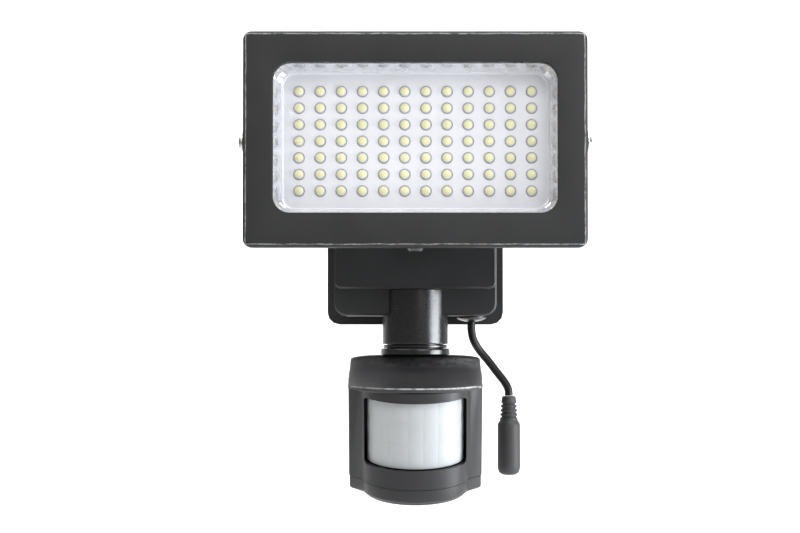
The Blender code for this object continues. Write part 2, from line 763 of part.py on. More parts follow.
def smooth_route(points, step):
    """Evenly spaced points on a smooth curve through the route's points."""
    guide = [Vector(point) for point in points]
    guide = [2 * guide[0] - guide[1]] + guide + [2 * guide[-1] - guide[-2]]
    fine = []
    for before, start, end, after in zip(guide, guide[1:], guide[2:], guide[3:]):
        for part in range(20):
            t = part / 20
            bend = 2 * before - 5 * start + 4 * end - after
            curl = 3 * start - before - 3 * end + after
            fine.append(start + 0.5 * t * ((end - before) + t * (bend + t * curl)))
    fine.append(guide[-2])
    total = sum((second - first).length for first, second in zip(fine, fine[1:]))
    count = round(total / step)
    even, travelled, target = [fine[0]], 0.0, total / count
    for first, second in zip(fine, fine[1:]):
        length = (second - first).length
        while travelled + length >= target and len(even) < count:
            even.append(first.lerp(second, (target - travelled) / length))
            target += total / count
        travelled += length
    return even + [fine[-1]]


def add_lead(black):
    curve = bpy.data.curves.new("solar_lead", "CURVE")
    curve.dimensions = "3D"
    curve.bevel_depth = LEAD_RADIUS
    curve.bevel_resolution = 2
    curve.use_fill_caps = True
    points = smooth_route(LEAD_ROUTE, LEAD_STEP)
    spline = curve.splines.new("POLY")
    spline.points.add(len(points) - 1)
    for target, point in zip(spline.points, points):
        target.co = (*point, 1.0)
    curve.materials.append(black)
    bpy.context.collection.objects.link(bpy.data.objects.new("solar_lead", curve))


def add_connector(grey, steel):
    place_of = (LEAD_ROUTE[-1][0], LEAD_ROUTE[-1][1], LEAD_ROUTE[-1][2] - GAP)
    profile = (
        (0.0036, 0.0),
        (0.0040, -0.0010),
        (0.0047, -0.0130),
        (0.0061, -0.0148),
        (0.0062, -0.0389),
        (0.0059, -0.0407),
        (0.0050, -0.0420),
        (0.0036, -0.0427),
        (0.0028, -0.0427),
        (0.0028, -0.0330),
    )
    add("lead_connector", turned(profile, 20), grey, None, place_of)
    pin = ((0.0010, -0.0333), (0.0010, -0.0412), (0.0005, -0.0418))
    add("contact_pin", turned(pin, 12), steel, None, place_of)


def main():
    clear_scene()
    black = make_material("satin_black", (0.030, 0.030, 0.031), 0.45)
    box_black = make_material("box_black", (0.022, 0.022, 0.023), 0.40)
    charcoal = make_material("charcoal", (0.060, 0.061, 0.064), 0.45)
    rubber = make_material("rubber", (0.030, 0.030, 0.030), 0.80)
    lead_black = make_material("lead_black", (0.015, 0.015, 0.016), 0.30)
    grey = make_material("connector_grey", (0.060, 0.061, 0.062), 0.60)
    steel = make_material("zinc_steel", (0.620, 0.620, 0.600), 0.30, 1.0)
    glass = make_material("clear_glass", (0.900, 0.920, 0.930), 0.05)
    white = make_material("reflector_white", (0.820, 0.820, 0.840), 0.20)
    milky = make_material("milky_lens", (0.720, 0.740, 0.770), 0.35)
    board_green = make_material("circuit_board", (0.030, 0.160, 0.070), 0.50)
    cell_blue = make_material("cell_wrap", (0.040, 0.120, 0.400), 0.40)

    add_wall_plate(steel)
    add_rear_shell(box_black)
    add_shell_gasket(rubber)
    add_front_shell(box_black)
    add_shell_screws(steel)
    add_box_cover(box_black, steel)
    add_box_contents(cell_blue, board_green, box_black)
    add_neck(box_black)
    add_cable_gland(box_black)
    add_yoke(black, steel, HEAD_PIVOT)

    head = add_pivot("lamp_head_pivot", HEAD_PIVOT)
    add_front_bezel(black, head)
    add_glass(rubber, glass, head)
    add_reflector_tray(white, head)
    add_led_board(board_green, head)
    add_head_housing(black, head)
    add_head_fasteners(steel, rubber, box_black, head)

    swivel = add_pivot("sensor_swivel_pivot", (0.0, NECK_Y, COLLAR_TOP))
    add_swivel(box_black, steel, swivel)
    hinge = add_pivot("sensor_hinge", SENSOR_HINGE)
    lean = add_pivot("sensor_lean", (0.0, 0.0, 0.0), hinge, (SENSOR_LEAN, 0.0, 0.0))
    add_sensor_lid(charcoal, hinge)
    add_sensor_body(charcoal, lean)
    add_sensor_lens(milky, lean)
    add_sensor_electronics(board_green, steel, lean)
    add_sensor_base(charcoal, white, lean)
    add_hinge_bracket(charcoal, lean)

    add_lead(lead_black)
    add_connector(grey, steel)


main()
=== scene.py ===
import json
import math

import bmesh
import bpy
from mathutils import Matrix, Vector

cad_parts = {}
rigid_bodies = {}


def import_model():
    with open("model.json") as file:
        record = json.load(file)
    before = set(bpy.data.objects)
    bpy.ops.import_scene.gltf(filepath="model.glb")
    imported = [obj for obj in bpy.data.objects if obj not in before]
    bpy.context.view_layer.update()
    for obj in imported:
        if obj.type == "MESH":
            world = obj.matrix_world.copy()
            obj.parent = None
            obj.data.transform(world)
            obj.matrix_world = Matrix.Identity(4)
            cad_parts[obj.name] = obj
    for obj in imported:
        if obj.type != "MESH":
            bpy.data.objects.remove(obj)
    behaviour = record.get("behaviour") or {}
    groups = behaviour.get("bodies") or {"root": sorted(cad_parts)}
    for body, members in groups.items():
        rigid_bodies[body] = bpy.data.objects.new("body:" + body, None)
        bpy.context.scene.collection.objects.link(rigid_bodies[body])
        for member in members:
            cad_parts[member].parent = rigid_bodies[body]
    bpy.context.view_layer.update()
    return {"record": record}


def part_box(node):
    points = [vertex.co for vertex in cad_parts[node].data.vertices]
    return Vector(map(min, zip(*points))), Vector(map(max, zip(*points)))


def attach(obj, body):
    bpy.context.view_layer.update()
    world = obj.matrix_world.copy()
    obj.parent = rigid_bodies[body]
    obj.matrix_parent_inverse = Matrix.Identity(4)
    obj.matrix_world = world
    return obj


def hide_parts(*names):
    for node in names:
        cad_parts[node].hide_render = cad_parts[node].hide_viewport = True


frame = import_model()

# Places and sizes in metres, from the frame where it holds them

JOINTS = {joint["name"]: joint for joint in frame["record"]["behaviour"]["joints"]}
HEAD_PIVOT = Vector(JOINTS["head_tilt"]["pos_m"])
SENSOR_HINGE = Vector(JOINTS["sensor_tilt"]["pos_m"])
DIAL_AXIS = JOINTS["time_dial_turn"]["axis"]
SENSOR_LEAN = math.atan2(DIAL_AXIS[1], -DIAL_AXIS[2])
NECK_Y = JOINTS["sensor_pan"]["pos_m"][1]
BEZEL_LOW, BEZEL_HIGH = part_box("front_bezel")
HEAD_WIDTH = BEZEL_HIGH[0] - BEZEL_LOW[0]
HEAD_HEIGHT = BEZEL_HIGH[2] - BEZEL_LOW[2]
HEAD_FRONT = BEZEL_LOW[1]

# Lamp head, about its tilt axis. A window is (width, height, corner radius)
WINDOW = (0.1362, 0.0721, 0.0082)
WINDOW_LIFT = 0.0008
LED_COLUMNS, LED_ROWS = 12, 7
LED_PITCH = (0.0103, 0.0081)
LED_RADIUS, LED_HOLE_RADIUS = 0.0024, 0.0028
TRAY_FLOOR, TRAY_FLANGE = 0.0004, -0.0066
LED_BOARD_FRONT = 0.0040

# Sensor head, about its hinge and square to its own lean
SENSOR_RADIUS, SENSOR_CENTRE = 0.0284, -0.0396
SENSOR_HALF_WIDTH, SENSOR_REAR, SENSOR_CORNER, SENSOR_WALL = 0.0348, -0.0220, 0.0080, 0.0022
SENSOR_SEAM, PILLAR_BOTTOM, SENSOR_BOTTOM, DISC_REAR = -0.0503, -0.0576, -0.0593, -0.0250
LENS_TOP, LENS_BOTTOM, LENS_HALF_WIDTH, LENS_RADIUS = -0.0058, -0.0406, 0.0263, 0.0256
DIAL_SPREAD, DIAL_RADIUS, DIAL_WELL = 0.0110, 0.0050, 0.0026

# Lid, about the hinge and level
LID_HALF_WIDTH, LID_THICKNESS, LID_REAR = 0.0345, 0.0027, -0.0060
LID_SHOULDER, LID_NOSE = -0.0490, -0.0670
LID_CORNER, LID_CROWN = 0.0090, 0.0016

NECK_BORE, SPIGOT_RADIUS = 0.0128, 0.0150

# The lead's middle line, in world coordinates
LEAD_RADIUS = 0.0022
LEAD_ROUTE = (
    (0.0302, -0.0220, -0.0505),
    (0.0303, -0.0219, -0.0548),
    (0.0315, -0.0194, -0.0599),
    (0.0346, -0.0166, -0.0652),
    (0.0397, -0.0150, -0.0713),
    (0.0444, -0.0143, -0.0774),
    (0.0479, -0.0140, -0.0818),
    (0.0502, -0.0140, -0.0855),
    (0.0509, -0.0140, -0.0880),
    (0.0510, -0.0140, -0.0903),
)


# Shape helpers


def rounded_rectangle(width, height, radius, steps=12):
    """Outline as (across, up) pairs, counterclockwise from the lower right corner."""
    outline = []
    for corner, (side, end) in enumerate(((1, -1), (1, 1), (-1, 1), (-1, -1))):
        for step in range(steps + 1):
            angle = math.radians(90 * (corner - 1 + step / steps))
            across = side * (width / 2 - radius) + radius * math.cos(angle)
            up = end * (height / 2 - radius) + radius * math.sin(angle)
            outline.append((across, up))
    return outline


def shifted(outline, across, up):
    return [(first + across, second + up) for first, second in outline]


def circle(radius, sides):
    angles = [2 * math.pi * step / sides for step in range(sides)]
    return [(radius * math.cos(angle), radius * math.sin(angle)) for angle in angles]


def place(pair, along, axis):
    first, second = pair
    if axis == "X":
        return Vector((along, first, second))
    if axis == "Y":
        return Vector((first, along, second))
    return Vector((first, second, along))


def loft(rings, loop=False, mesh=None):
    """Skins rings of equal length, and caps both ends unless the last ring meets the first."""
    mesh = mesh or bmesh.new()
    rows = [[mesh.verts.new(point) for point in ring] for ring in rings]
    pairs = list(zip(rows, rows[1:]))
    if loop:
        pairs.append((rows[-1], rows[0]))
    else:
        mesh.faces.new(rows[0])
        mesh.faces.new(rows[-1])
    for first, second in pairs:
        for index in range(len(first)):
            after = (index + 1) % len(first)
            mesh.faces.new((first[index], first[after], second[after], second[index]))
    return mesh


def extruded(sections, axis="Y", loop=False, mesh=None):
    rings = [[place(pair, along, axis) for pair in outline] for outline, along in sections]
    return loft(rings, loop, mesh)


def turned(profile, sides=64, axis="Z", loop=False, centre=(0.0, 0.0), mesh=None):
    sections = [(shifted(circle(radius, sides), *centre), along) for radius, along in profile]
    return extruded(sections, axis, loop, mesh)


def box(low, high, mesh=None):
    outline = ((low[0], low[1]), (high[0], low[1]), (high[0], high[1]), (low[0], high[1]))
    return extruded(((outline, low[2]), (outline, high[2])), "Z", mesh=mesh)


def arc(radius, start, end, steps, centre=(0.0, 0.0)):
    """Points (first, second) on an arc between two angles in degrees."""
    points = []
    for step in range(steps + 1):
        angle = math.radians(start + (end - start) * step / steps)
        points.append((centre[0] + radius * math.cos(angle), centre[1] + radius * math.sin(angle)))
    return points


def rounded_profile(corners, steps=5):
    """Turns (radius, along, rounding) corners into a profile with its corners rounded off."""
    points = []
    for index, (radius, along, rounding) in enumerate(corners):
        here = Vector((radius, along))
        if rounding == 0 or index in (0, len(corners) - 1):
            points.append((radius, along))
            continue
        before = (Vector(corners[index - 1][:2]) - here).normalized() * rounding
        after = (Vector(corners[index + 1][:2]) - here).normalized() * rounding
        for step in range(steps + 1):
            t = step / steps
            point = here + before * (1 - t) ** 2 + after * t**2
            points.append((point.x, point.y))
    return points


def add(name, mesh, material, body=None, nodes=(), location=(0, 0, 0), lean=0.0, sharp=35):
    """Makes a piece of the mesh, which rides on a body and may stand for CAD nodes."""
    bmesh.ops.recalc_face_normals(mesh, faces=mesh.faces)
    data = bpy.data.meshes.new(name)
    mesh.to_mesh(data)
    mesh.free()
    data.materials.append(material)
    data.shade_smooth()
    data.set_sharp_from_angle(angle=math.radians(sharp))
    piece = bpy.data.objects.new(name, data)
    piece.location = location
    piece.rotation_euler = (lean, 0.0, 0.0)
    bpy.context.collection.objects.link(piece)
    if body:
        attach(piece, body)
    if nodes:
        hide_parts(*nodes)
    return piece


def bevel(piece, width, segments=3, degrees=35):
    modifier = piece.modifiers.new("rounded_edges", "BEVEL")
    modifier.width = width
    modifier.segments = segments
    modifier.limit_method = "ANGLE"
    modifier.angle_limit = math.radians(degrees)
    modifier.harden_normals = True


def bake_modifiers(piece):
    graph = bpy.context.evaluated_depsgraph_get()
    piece_data = bpy.data.meshes.new_from_object(piece.evaluated_get(graph))
    piece.modifiers.clear()
    piece.data = piece_data


def cut(piece, mesh, operation="DIFFERENCE", sharp=35):
    """Cuts the mesh from the piece at once, or joins it to the piece."""
    bmesh.ops.recalc_face_normals(mesh, faces=mesh.faces)
    data = bpy.data.meshes.new("cutter")
    mesh.to_mesh(data)
    mesh.free()
    tool = bpy.data.objects.new("cutter", data)
    tool.location = piece.location
    tool.rotation_euler = piece.rotation_euler
    bpy.context.collection.objects.link(tool)
    modifier = piece.modifiers.new("cut", "BOOLEAN")
    modifier.operation = operation
    modifier.solver = "EXACT"
    modifier.object = tool
    bpy.context.view_layer.update()
    bake_modifiers(piece)
    bpy.data.objects.remove(tool, do_unlink=True)
    piece.data.shade_smooth()
    piece.data.set_sharp_from_angle(angle=math.radians(sharp))
    return piece


# Materials


def node(tree, kind, values=None, **settings):
    """Adds a shader node. A value that is a socket is linked, and any other is set."""
    made = tree.nodes.new("ShaderNode" + kind)
    for key, value in settings.items():
        setattr(made, key, value)
    for key, value in (values or {}).items():
        if isinstance(value, bpy.types.NodeSocket):
            tree.links.new(value, made.inputs[key])
        else:
            made.inputs[key].default_value = value
    return made


def noise(tree, where, scale, detail=3.0, rough=0.55):
    values = {"Vector": where, "Scale": scale, "Detail": detail, "Roughness": rough}
    return node(tree, "TexNoise", values).outputs["Fac"]


def remap(tree, value, low, high, to_low, to_high):
    values = {"Value": value, "From Min": low, "From Max": high, "To Min": to_low, "To Max": to_high}
    return node(tree, "MapRange", values).outputs["Result"]


def spread_out(tree, value, to_low, to_high):
    """Takes the middle of a noise's range to the two given values."""
    return remap(tree, value, 0.3, 0.7, to_low, to_high)


def axes(tree, where):
    """The three parts of a vector, as sockets."""
    return node(tree, "SeparateXYZ", {0: where}).outputs


def surface_normal(tree):
    """The normal's three parts, in the piece's own axes."""
    return axes(tree, node(tree, "TexCoord").outputs["Normal"])


def roughen(tree, shader, height, depth):
    bump = node(tree, "Bump", {"Height": height, "Strength": 1.0, "Distance": depth})
    tree.links.new(bump.outputs["Normal"], shader.inputs["Normal"])


def math_node(tree, operation, first, second=0.0):
    return node(tree, "Math", {0: first, 1: second}, operation=operation).outputs[0]


def mix_colour(tree, share, first, second):
    made = node(tree, "Mix", {0: share, 6: first, 7: second}, data_type="RGBA")
    return made.outputs[2]


def rgba(colour, gain=1.0):
    return tuple(channel * gain for channel in colour) + (1.0,)


def new_material(name):
    material = bpy.data.materials.new(name)
    material.use_nodes = True
    tree = material.node_tree
    where = node(tree, "TexCoord").outputs["Object"]
    return material, tree, tree.nodes["Principled BSDF"], where


def surface(name, colour, roughness, grain, depth, spread=0.06, blotch=0.12, shine=0.5):
    """A finish with a fine grain, cloudy colour and uneven gloss."""
    material, tree, shader, where = new_material(name)
    cloud = noise(tree, where, 38.0, 4.0)
    speck = noise(tree, where, grain, 2.0)
    share = spread_out(tree, cloud, 0.0, 1.0)
    tone = mix_colour(tree, share, rgba(colour, 1 - blotch), rgba(colour, 1 + blotch))
    tree.links.new(tone, shader.inputs["Base Color"])
    cloudy_gloss = spread_out(tree, cloud, roughness - spread, roughness + spread)
    gloss = math_node(tree, "ADD", cloudy_gloss, spread_out(tree, speck, -0.03, 0.03))
    tree.links.new(gloss, shader.inputs["Roughness"])
    roughen(tree, shader, speck, depth)
    shader.inputs["Specular IOR Level"].default_value = shine
    return material, tree, shader, where


def edge_wear_and_highlight(tree, shader, where, edge_mask, colour):
    """Lightens the base colour where the mask says: rubbed-off paint on the bezel, a painted highlight on
    the lid's lip.
    """
    patch = noise(tree, where, 260.0, 5.0, 0.7)
    worn = math_node(tree, "MULTIPLY", edge_mask, remap(tree, patch, 0.36, 0.58, 0.12, 0.9))
    linked = shader.inputs["Base Color"].links[0].from_socket
    tree.links.new(mix_colour(tree, worn, linked, rgba(colour)), shader.inputs["Base Color"])


def bezel_paint():
    """Fine-textured satin black, rubbed light along the rim of the front face."""
    black = (0.019, 0.019, 0.0195)
    made, tree, shader, where = surface("bezel_paint", black, 0.52, 2600.0, 0.00006, shine=0.34)
    rim, half_line, soft_line = 0.0015, 0.00010, 0.00038
    across, depth, up = axes(tree, where)
    middle = (BEZEL_LOW[2] + BEZEL_HIGH[2]) / 2
    lift = math_node(tree, "SUBTRACT", up, middle)
    side = math_node(tree, "SUBTRACT", math_node(tree, "ABSOLUTE", across), HEAD_WIDTH / 2)
    end = math_node(tree, "SUBTRACT", math_node(tree, "ABSOLUTE", lift), HEAD_HEIGHT / 2)
    inward = math_node(tree, "MULTIPLY", math_node(tree, "MAXIMUM", side, end), -1.0)
    inward = math_node(tree, "ADD", inward, spread_out(tree, noise(tree, where, 120.0), -0.00018, 0.00018))
    from_rim = math_node(tree, "ABSOLUTE", math_node(tree, "SUBTRACT", inward, rim))
    near = remap(tree, from_rim, half_line, soft_line, 1.0, 0.0)
    front = remap(tree, depth, HEAD_FRONT + 0.0008, HEAD_FRONT + 0.0014, 1.0, 0.0)
    edge_wear_and_highlight(tree, shader, where, math_node(tree, "MULTIPLY", near, front), (0.34, 0.34, 0.34))
    return made


def lens_material():
    """Milky plastic with faint clouds and a slight glow under its skin."""
    material, tree, shader, where = new_material("milky_lens")
    cloud = noise(tree, where, 24.0, 2.0)
    share = remap(tree, cloud, 0.25, 0.75, 0.0, 1.0)
    tone = mix_colour(tree, share, rgba((0.450, 0.468, 0.472)), rgba((0.480, 0.500, 0.520)))
    tree.links.new(tone, shader.inputs["Base Color"])
    tree.links.new(remap(tree, cloud, 0.25, 0.75, 0.38, 0.50), shader.inputs["Roughness"])
    roughen(tree, shader, noise(tree, where, 1800.0, 2.0), 0.00001)
    shader.inputs["Specular IOR Level"].default_value = 0.36
    shader.inputs["Subsurface Weight"].default_value = 0.35
    shader.inputs["Subsurface Radius"].default_value = (0.9, 1.0, 1.1)
    shader.inputs["Subsurface Scale"].default_value = 0.0015
    return material


def lid_material():
    """The sensor's plastic, with a painted highlight along the lip at the front, stronger towards the
    right.
    """
    grey = (0.042, 0.042, 0.044)
    made, tree, shader, where = surface("lid_plastic", grey, 0.50, 1300.0, 0.00004, shine=0.35)
    # Painted highlight: a light line where the lip faces front and up, stronger on the right side, where
    # the lights are.
    _, forward, upward = surface_normal(tree)
    faces_front = remap(tree, forward, -0.42, -0.58, 0.0, 1.0)
    faces_up = remap(tree, upward, 0.10, 0.30, 0.0, 1.0)
    stronger_right = remap(tree, axes(tree, where)[0], -0.0250, 0.0150, 0.25, 1.0)
    lip = math_node(tree, "MULTIPLY", math_node(tree, "MULTIPLY", faces_front, faces_up), stronger_right)
    # The near-white colour is a painted highlight on the lip, not rubbed paint.
    edge_wear_and_highlight(tree, shader, where, lip, (0.80, 0.80, 0.80))
    return made


def glass_material():
    material, tree, shader, where = new_material("window_glass")
    smear = noise(tree, where, 22.0, 3.0)
    tree.links.new(remap(tree, smear, 0.35, 0.7, 0.02, 0.07), shader.inputs["Roughness"])
    shader.inputs["Base Color"].default_value = rgba((0.95, 0.97, 1.0))
    shader.inputs["Alpha"].default_value = 0.06
    return material


def led_material():
    """Yellow phosphor seen through the middle of each dome, paler towards its rim."""
    yellow, pale = (0.80, 0.77, 0.37), (0.66, 0.67, 0.62)
    made, tree, shader, _ = surface("led_phosphor", yellow, 0.20, 900.0, 0.00001, 0.05, 0.08)
    forward = surface_normal(tree)[1]
    cloudy_yellow = shader.inputs["Base Color"].links[0].from_socket
    share = remap(tree, forward, -0.86, -0.58, 0.0, 1.0)
    tree.links.new(mix_colour(tree, share, cloudy_yellow, rgba(pale)), shader.inputs["Base Color"])
    return made


def tray_material():
    """Glossy white floor between walls with a thin mirror coat."""
    white, full_coat = (0.80, 0.80, 0.84), 0.78
    made, tree, shader, where = surface("reflector_white", white, 0.16, 500.0, 0.00001, 0.05, 0.03)
    coat = remap(tree, axes(tree, where)[1], TRAY_FLOOR - 0.0016, TRAY_FLOOR - 0.0008, full_coat, 0.0)
    patchy = remap(tree, noise(tree, where, 170.0, 4.0, 0.7), 0.35, 0.65, 0.6, 1.0)
    tree.links.new(math_node(tree, "MULTIPLY", coat, patchy), shader.inputs["Metallic"])
    tree.links.new(remap(tree, coat, 0.0, full_coat, 0.16, 0.08), shader.inputs["Roughness"])
    return made


def brushed(name, colour, roughness):
    """Bare metal with fine drawn lines."""
    material, tree, shader, where = new_material(name)
    drawn = node(tree, "Mapping", {"Vector": where, "Scale": (30.0, 900.0, 900.0)}).outputs[0]
    lines = noise(tree, drawn, 1.0, 3.0)
    share = spread_out(tree, noise(tree, where, 90.0, 3.0), 0.0, 1.0)
    tone = mix_colour(tree, share, rgba(colour, 0.82), rgba(colour, 1.1))
    tree.links.new(tone, shader.inputs["Base Color"])
    tree.links.new(spread_out(tree, lines, roughness - 0.08, roughness + 0.10), shader.inputs["Roughness"])
    roughen(tree, shader, lines, 0.00001)
    shader.inputs["Metallic"].default_value = 1.0
    return material


def board_material(name):
    """Green solder mask over copper tracks."""
    material, tree, shader, where = new_material(name)
    cells = node(tree, "TexVoronoi", {"Vector": where, "Scale": 420.0}, distance="MANHATTAN")
    tracks = remap(tree, cells.outputs["Distance"], 0.28, 0.34, 0.0, 1.0)
    tone = mix_colour(tree, tracks, rgba((0.018, 0.115, 0.045)), rgba((0.040, 0.200, 0.080)))
    tree.links.new(tone, shader.inputs["Base Color"])
    roughen(tree, shader, tracks, 0.00003)
    tree.links.new(spread_out(tree, noise(tree, where, 300.0), 0.25, 0.4), shader.inputs["Roughness"])
    return material


FINISH = {
    "bezel": bezel_paint(),
    "housing": surface("housing_paint", (0.036, 0.036, 0.037), 0.50, 2200.0, 0.00008)[0],
    "box": surface("box_plastic", (0.017, 0.017, 0.018), 0.42, 1500.0, 0.00004)[0],
    "neck": surface("neck_plastic", (0.006, 0.006, 0.007), 0.24, 1600.0, 0.00006, 0.04, shine=0.8)[0],
    "sensor": surface("sensor_plastic", (0.015, 0.015, 0.017), 0.38, 1300.0, 0.00003, shine=0.45)[0],
    "lid": lid_material(),
    "rubber": surface("gasket_rubber", (0.022, 0.022, 0.022), 0.75, 900.0, 0.00008)[0],
    "lead": surface("lead_jacket", (0.006, 0.006, 0.007), 0.36, 700.0, 0.00002, 0.04, shine=0.3)[0],
    "connector": surface("connector_plastic", (0.034, 0.034, 0.035), 0.58, 1600.0, 0.00005)[0],
    "tray": tray_material(),
    "led": surface("led_epoxy", (0.40, 0.41, 0.42), 0.20, 900.0, 0.00001, 0.04, 0.05)[0],
    "phosphor": led_material(),
    "dial": surface("dial_plastic", (0.70, 0.70, 0.68), 0.42, 1300.0, 0.00003)[0],
    "cell": surface("cell_wrap", (0.030, 0.100, 0.380), 0.30, 500.0, 0.00003)[0],
    "lens": lens_material(),
    "glass": glass_material(),
    "zinc": brushed("zinc_screw", (0.62, 0.62, 0.60), 0.26),
    "plate": brushed("plate_steel", (0.52, 0.52, 0.51), 0.36),
    "brass": brushed("contact_brass", (0.80, 0.62, 0.30), 0.28),
    "board": board_material("circuit_board"),
}

SLOT_FINISH = {
    "bezel_paint": "bezel",
    "housing_paint": "housing",
    "box_plastic": "box",
    "neck_plastic": "neck",
    "sensor_plastic": "sensor",
    "lens_plastic": "lens",
    "gasket_rubber": "rubber",
    "lead_jacket": "lead",
    "connector_plastic": "connector",
    "contact_brass": "brass",
    "zinc_screw": "zinc",
    "plate_steel": "plate",
    "reflector_white": "tray",
    "window_glass": "glass",
    "board_green": "board",
    "cell_wrap": "cell",
    "dial_plastic": "dial",
}


def dress_cad_nodes():
    """Gives every carried-over node its slot's finish, and rounds the edges of the moulded ones."""
    rounding = {"front_shell": 0.0008, "rear_shell": 0.0010, "box_cover": 0.0008, "head_housing": 0.0006,
                "yoke": 0.0005, "swivel_arm": 0.0004, "hinge_bracket": 0.0004, "wall_plate": 0.0004}
    for entry in frame["record"]["subparts"]:
        piece = bpy.data.objects[entry["node"]]
        piece.data.materials.clear()
        piece.data.materials.append(FINISH[SLOT_FINISH[entry["material_slot"]]])
        if entry["node"] in rounding:
            bevel(piece, rounding[entry["node"]])
        else:
            piece.data.shade_smooth()
            piece.data.set_sharp_from_angle(angle=math.radians(32))


# Camera, light and the stage


def look_at(thing, target):
    direction = Vector(target) - thing.location
    thing.rotation_euler = direction.to_track_quat("-Z", "Y").to_euler()


def add_camera():
    """A level long lens in front of the lamp, shifted so that the part sits in the middle."""
    pitch = math.radians(1.0)
    distance, eye_height = 0.650, -0.060
    data = bpy.data.cameras.new("camera")
    data.lens = 61.5
    data.sensor_width = 36.0
    data.clip_start = 0.01
    data.shift_x = -0.019125
    data.shift_y = 0.062056
    camera = bpy.data.objects.new("camera", data)
    camera.location = (0.0, HEAD_FRONT - distance, eye_height)
    camera.rotation_euler = (math.pi / 2 + pitch, 0.0, 0.0)
    bpy.context.collection.objects.link(camera)
    bpy.context.scene.camera = camera


def add_light(name, place_of, target, size, watts, colour):
    data = bpy.data.lights.new(name, "AREA")
    data.energy = watts
    data.color = colour
    data.shape = "RECTANGLE"
    data.size, data.size_y = size
    light = bpy.data.objects.new(name, data)
    light.location = place_of
    look_at(light, target)
    bpy.context.collection.objects.link(light)


def add_lights():
    """Two soft lights from above, two from the right that draw the highlights, and the backdrop's."""
    white, cool, warm = (1.0, 1.0, 1.0), (0.90, 0.95, 1.0), (1.0, 1.0, 0.95)
    lamp, sensor = (0.0, -0.06, 0.0), (0.0, -0.06, -0.12)
    add_light("key", (0.45, -1.00, 0.55), lamp, (0.50, 0.60), 6.4, (0.97, 0.98, 1.0))
    add_light("fill", (-0.60, -0.85, 0.60), lamp, (0.50, 0.50), 2.6, warm)
    add_light("side", (0.71, -0.26, -0.06), (0.0, -0.06, -0.06), (0.46, 0.26), 5.2, cool)
    add_light("low_side", (0.72, -0.05, -0.36), sensor, (0.24, 0.30), 3.0, (0.95, 0.97, 1.0))
    add_light("backdrop", (0.0, 0.25, 0.9), (0.0, 1.0, 0.1), (1.4, 1.4), 26.0, white)


def add_stage():
    """A pale floor that sweeps up into a backdrop."""
    floor, back, reach, bend = -0.33, 1.10, 3.0, 0.6
    line = [(-reach, floor)] + arc(bend, -90, 0, 16, (back - bend, floor + bend)) + [(back, reach)]
    mesh = bmesh.new()
    rows = [[mesh.verts.new((across, along, up)) for along, up in line] for across in (-reach, reach)]
    for index in range(len(line) - 1):
        mesh.faces.new((rows[0][index], rows[1][index], rows[1][index + 1], rows[0][index + 1]))
    pale = surface("stage_paper", (0.86, 0.86, 0.86), 0.85, 300.0, 0.00002, 0.04, 0.01)[0]
    add("stage_sweep", mesh, pale)


def add_world():
    world = bpy.data.worlds.new("studio")
    world.use_nodes = True
    background = world.node_tree.nodes["Background"]
    background.inputs["Color"].default_value = rgba((1.0, 1.0, 1.0))
    background.inputs["Strength"].default_value = 0.24
    bpy.context.scene.world = world
    bpy.context.scene.view_settings.view_transform = "Standard"


# Lead, gland and connector


def smooth_route(points, count):
    """Evenly spaced points on a smooth curve through the route's points."""
    guide = [Vector(point) for point in points]
    guide = [2 * guide[0] - guide[1]] + guide + [2 * guide[-1] - guide[-2]]
    fine = []
    for before, start, end, after in zip(guide, guide[1:], guide[2:], guide[3:]):
        for part in range(20):
            t = part / 20
            bend = 2 * before - 5 * start + 4 * end - after
            curl = 3 * start - before - 3 * end + after
            fine.append(start + 0.5 * t * ((end - before) + t * (bend + t * curl)))
    fine.append(guide[-2])
    total = sum((second - first).length for first, second in zip(fine, fine[1:]))
    even, travelled, target = [fine[0]], 0.0, total / count
    for first, second in zip(fine, fine[1:]):
        length = (second - first).length
        while travelled + length >= target and len(even) < count:
            even.append(first.lerp(second, (target - travelled) / length))
            target += total / count
        travelled += length
    return even + [fine[-1]], total


def add_lead():
    points, length = smooth_route(LEAD_ROUTE, 30)
    curve = bpy.data.curves.new("lead", "CURVE")
    curve.dimensions = "3D"
    curve.bevel_depth = LEAD_RADIUS
    curve.bevel_resolution = 6
    curve.use_fill_caps = True
    spline = curve.splines.new("POLY")
    spline.points.add(len(points) - 1)
    for target, point in zip(spline.points, points):
        target.co = (*point, 1.0)
    spline.use_smooth = True
    curve.materials.append(FINISH["lead"])
    lead = bpy.data.objects.new("lead", curve)
    bpy.context.collection.objects.link(lead)
    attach(lead, "wall_unit")
    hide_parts("solar_lead")
    gland = add_gland()
    body = add_connector()


def add_gland():
    low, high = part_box("cable_gland")
    radius = (high[0] - low[0]) / 2
    drop = low[2] - high[2]
    corners = (
        (0.0045, 0.0, 0.0),
        (radius, 0.0, 0.0),
        (radius, 0.30 * drop, 0.0006),
        (0.74 * radius, 0.72 * drop, 0.0012),
        (LEAD_RADIUS + 0.0009, drop, 0.0004),
        (LEAD_RADIUS + 0.0003, drop, 0.0),
        (LEAD_RADIUS + 0.0003, 0.5 * drop, 0.0),
    )
    place_of = ((low[0] + high[0]) / 2, (low[1] + high[1]) / 2, high[2])
    mesh = turned(rounded_profile(corners), 64)
    return add("gland", mesh, FINISH["neck"], "wall_unit", ["cable_gland"], place_of)


